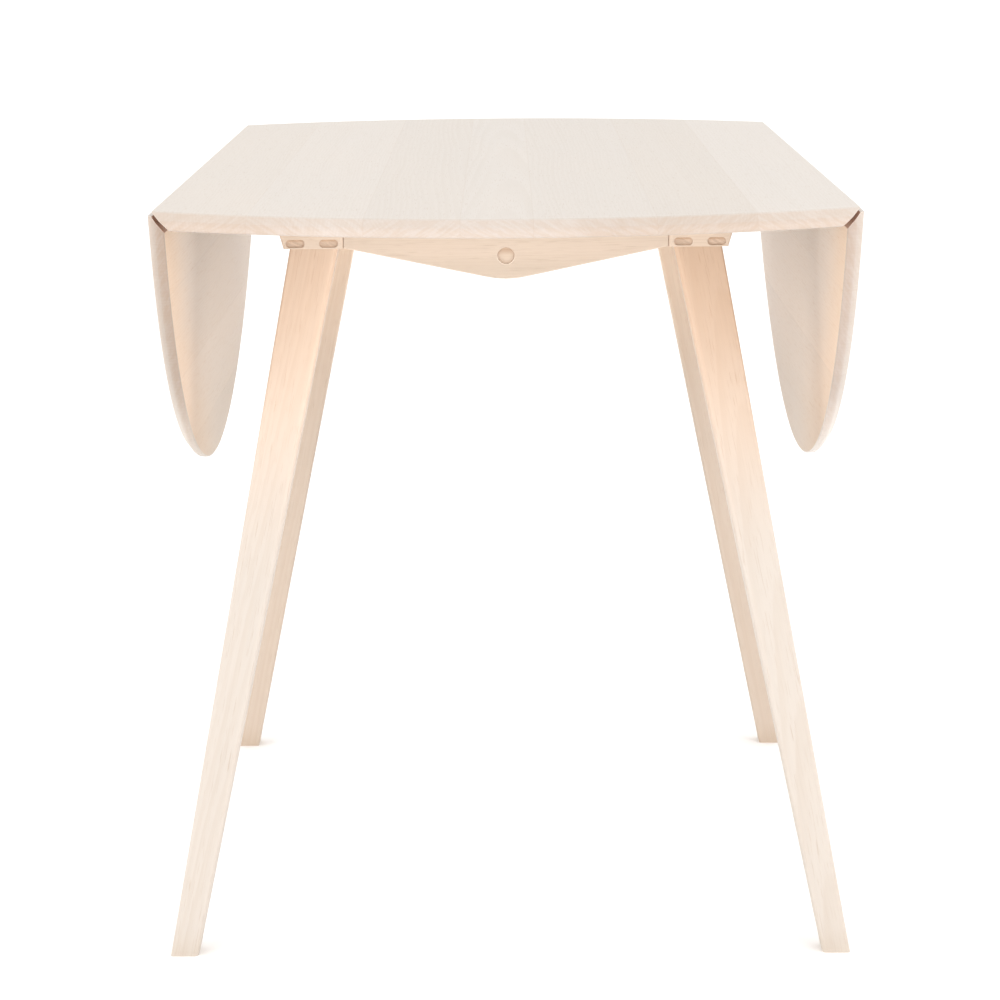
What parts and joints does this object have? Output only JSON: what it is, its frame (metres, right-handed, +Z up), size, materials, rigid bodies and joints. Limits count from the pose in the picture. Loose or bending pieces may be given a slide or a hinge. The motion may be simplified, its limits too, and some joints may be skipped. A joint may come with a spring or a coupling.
{
  "type": "drop leaf table",
  "caption": "Wooden drop leaf table: a narrow fixed top, two hanging hinged leaves that raise into an ellipse, and splayed tapered legs under a shallow V apron.",
  "frame": {"origin": "on the floor, under the middle of the centre top", "axes": "+X across the table towards the right leaf, +Y along the hinge lines towards the rear, +Z up"},
  "size_m": [0.6444, 1.12, 0.72],
  "materials": {
    "apron_wood": "matt oiled",
    "bearer_wood": "matt oiled",
    "bolt_steel": "satin",
    "front_left_leg_wood": "matt oiled",
    "front_right_leg_wood": "matt oiled",
    "guide_wood": "matt oiled",
    "head_wood": "matt oiled",
    "hinge_steel": "satin",
    "leaf_wood": "matt oiled",
    "peg_wood": "matt oiled",
    "pin_steel": "satin",
    "plug_wood": "matt oiled",
    "rail_wood": "matt oiled",
    "rear_left_leg_wood": "matt oiled",
    "rear_right_leg_wood": "matt oiled",
    "screw_steel": "satin",
    "tenon_wood": "matt oiled",
    "top_wood": "matt oiled"
  },
  "bodies": {
    "frame": {"bearer_keepers": "guide_wood", "bolt_plugs": "plug_wood", "button_screws": "screw_steel", "centre_stretcher": "rail_wood", "centre_top": "top_wood", "front_apron": "apron_wood", "front_bearer_guides": "guide_wood", "front_left_head": "head_wood", "front_left_leg": "front_left_leg_wood", "front_right_head": "head_wood", "front_right_leg": "front_right_leg_wood", "guide_screws": "screw_steel", "keeper_screws": "screw_steel", "left_hinge_pins": "pin_steel", "left_hinge_top_plates": "hinge_steel", "left_hinge_top_screws": "screw_steel", "left_side_rail": "rail_wood", "rear_apron": "apron_wood", "rear_bearer_guides": "guide_wood", "rear_left_head": "head_wood", "rear_left_leg": "rear_left_leg_wood", "rear_right_head": "head_wood", "rear_right_leg": "rear_right_leg_wood", "right_hinge_pins": "pin_steel", "right_hinge_top_plates": "hinge_steel", "right_hinge_top_screws": "screw_steel", "right_side_rail": "rail_wood", "side_rail_tenons": "tenon_wood", "stretcher_bolts": "bolt_steel", "top_buttons": "guide_wood"},
    "left_leaf_body": {"left_hinge_leaf_plates": "hinge_steel", "left_hinge_leaf_screws": "screw_steel", "left_leaf": "leaf_wood"},
    "right_leaf_body": {"right_hinge_leaf_plates": "hinge_steel", "right_hinge_leaf_screws": "screw_steel", "right_leaf": "leaf_wood"},
    "front_left_bearer_body": {"front_left_bearer": "bearer_wood", "front_left_bearer_peg": "peg_wood"},
    "front_right_bearer_body": {"front_right_bearer": "bearer_wood", "front_right_bearer_peg": "peg_wood"},
    "rear_left_bearer_body": {"rear_left_bearer": "bearer_wood", "rear_left_bearer_peg": "peg_wood"},
    "rear_right_bearer_body": {"rear_right_bearer": "bearer_wood", "rear_right_bearer_peg": "peg_wood"}
  },
  "joints": [
    {"name": "left_leaf_hinge", "type": "hinge", "parent": "frame", "child": "left_leaf_body", "pos_m": [-0.3035, 0, 0.716], "axis": [0, 1, 0], "range_deg": [-11, 88.37]},
    {"name": "right_leaf_hinge", "type": "hinge", "parent": "frame", "child": "right_leaf_body", "pos_m": [0.3035, 0, 0.716], "axis": [0, -1, 0], "range_deg": [-11, 88.37]},
    {"name": "front_left_bearer_slide", "type": "slide", "parent": "frame", "child": "front_left_bearer_body", "axis": [-1, 0, 0], "range_m": [0, 0.074]},
    {"name": "front_right_bearer_slide", "type": "slide", "parent": "frame", "child": "front_right_bearer_body", "axis": [1, 0, 0], "range_m": [0, 0.074]},
    {"name": "rear_left_bearer_slide", "type": "slide", "parent": "frame", "child": "rear_left_bearer_body", "axis": [-1, 0, 0], "range_m": [0, 0.074]},
    {"name": "rear_right_bearer_slide", "type": "slide", "parent": "frame", "child": "rear_right_bearer_body", "axis": [1, 0, 0], "range_m": [0, 0.074]}
  ]
}
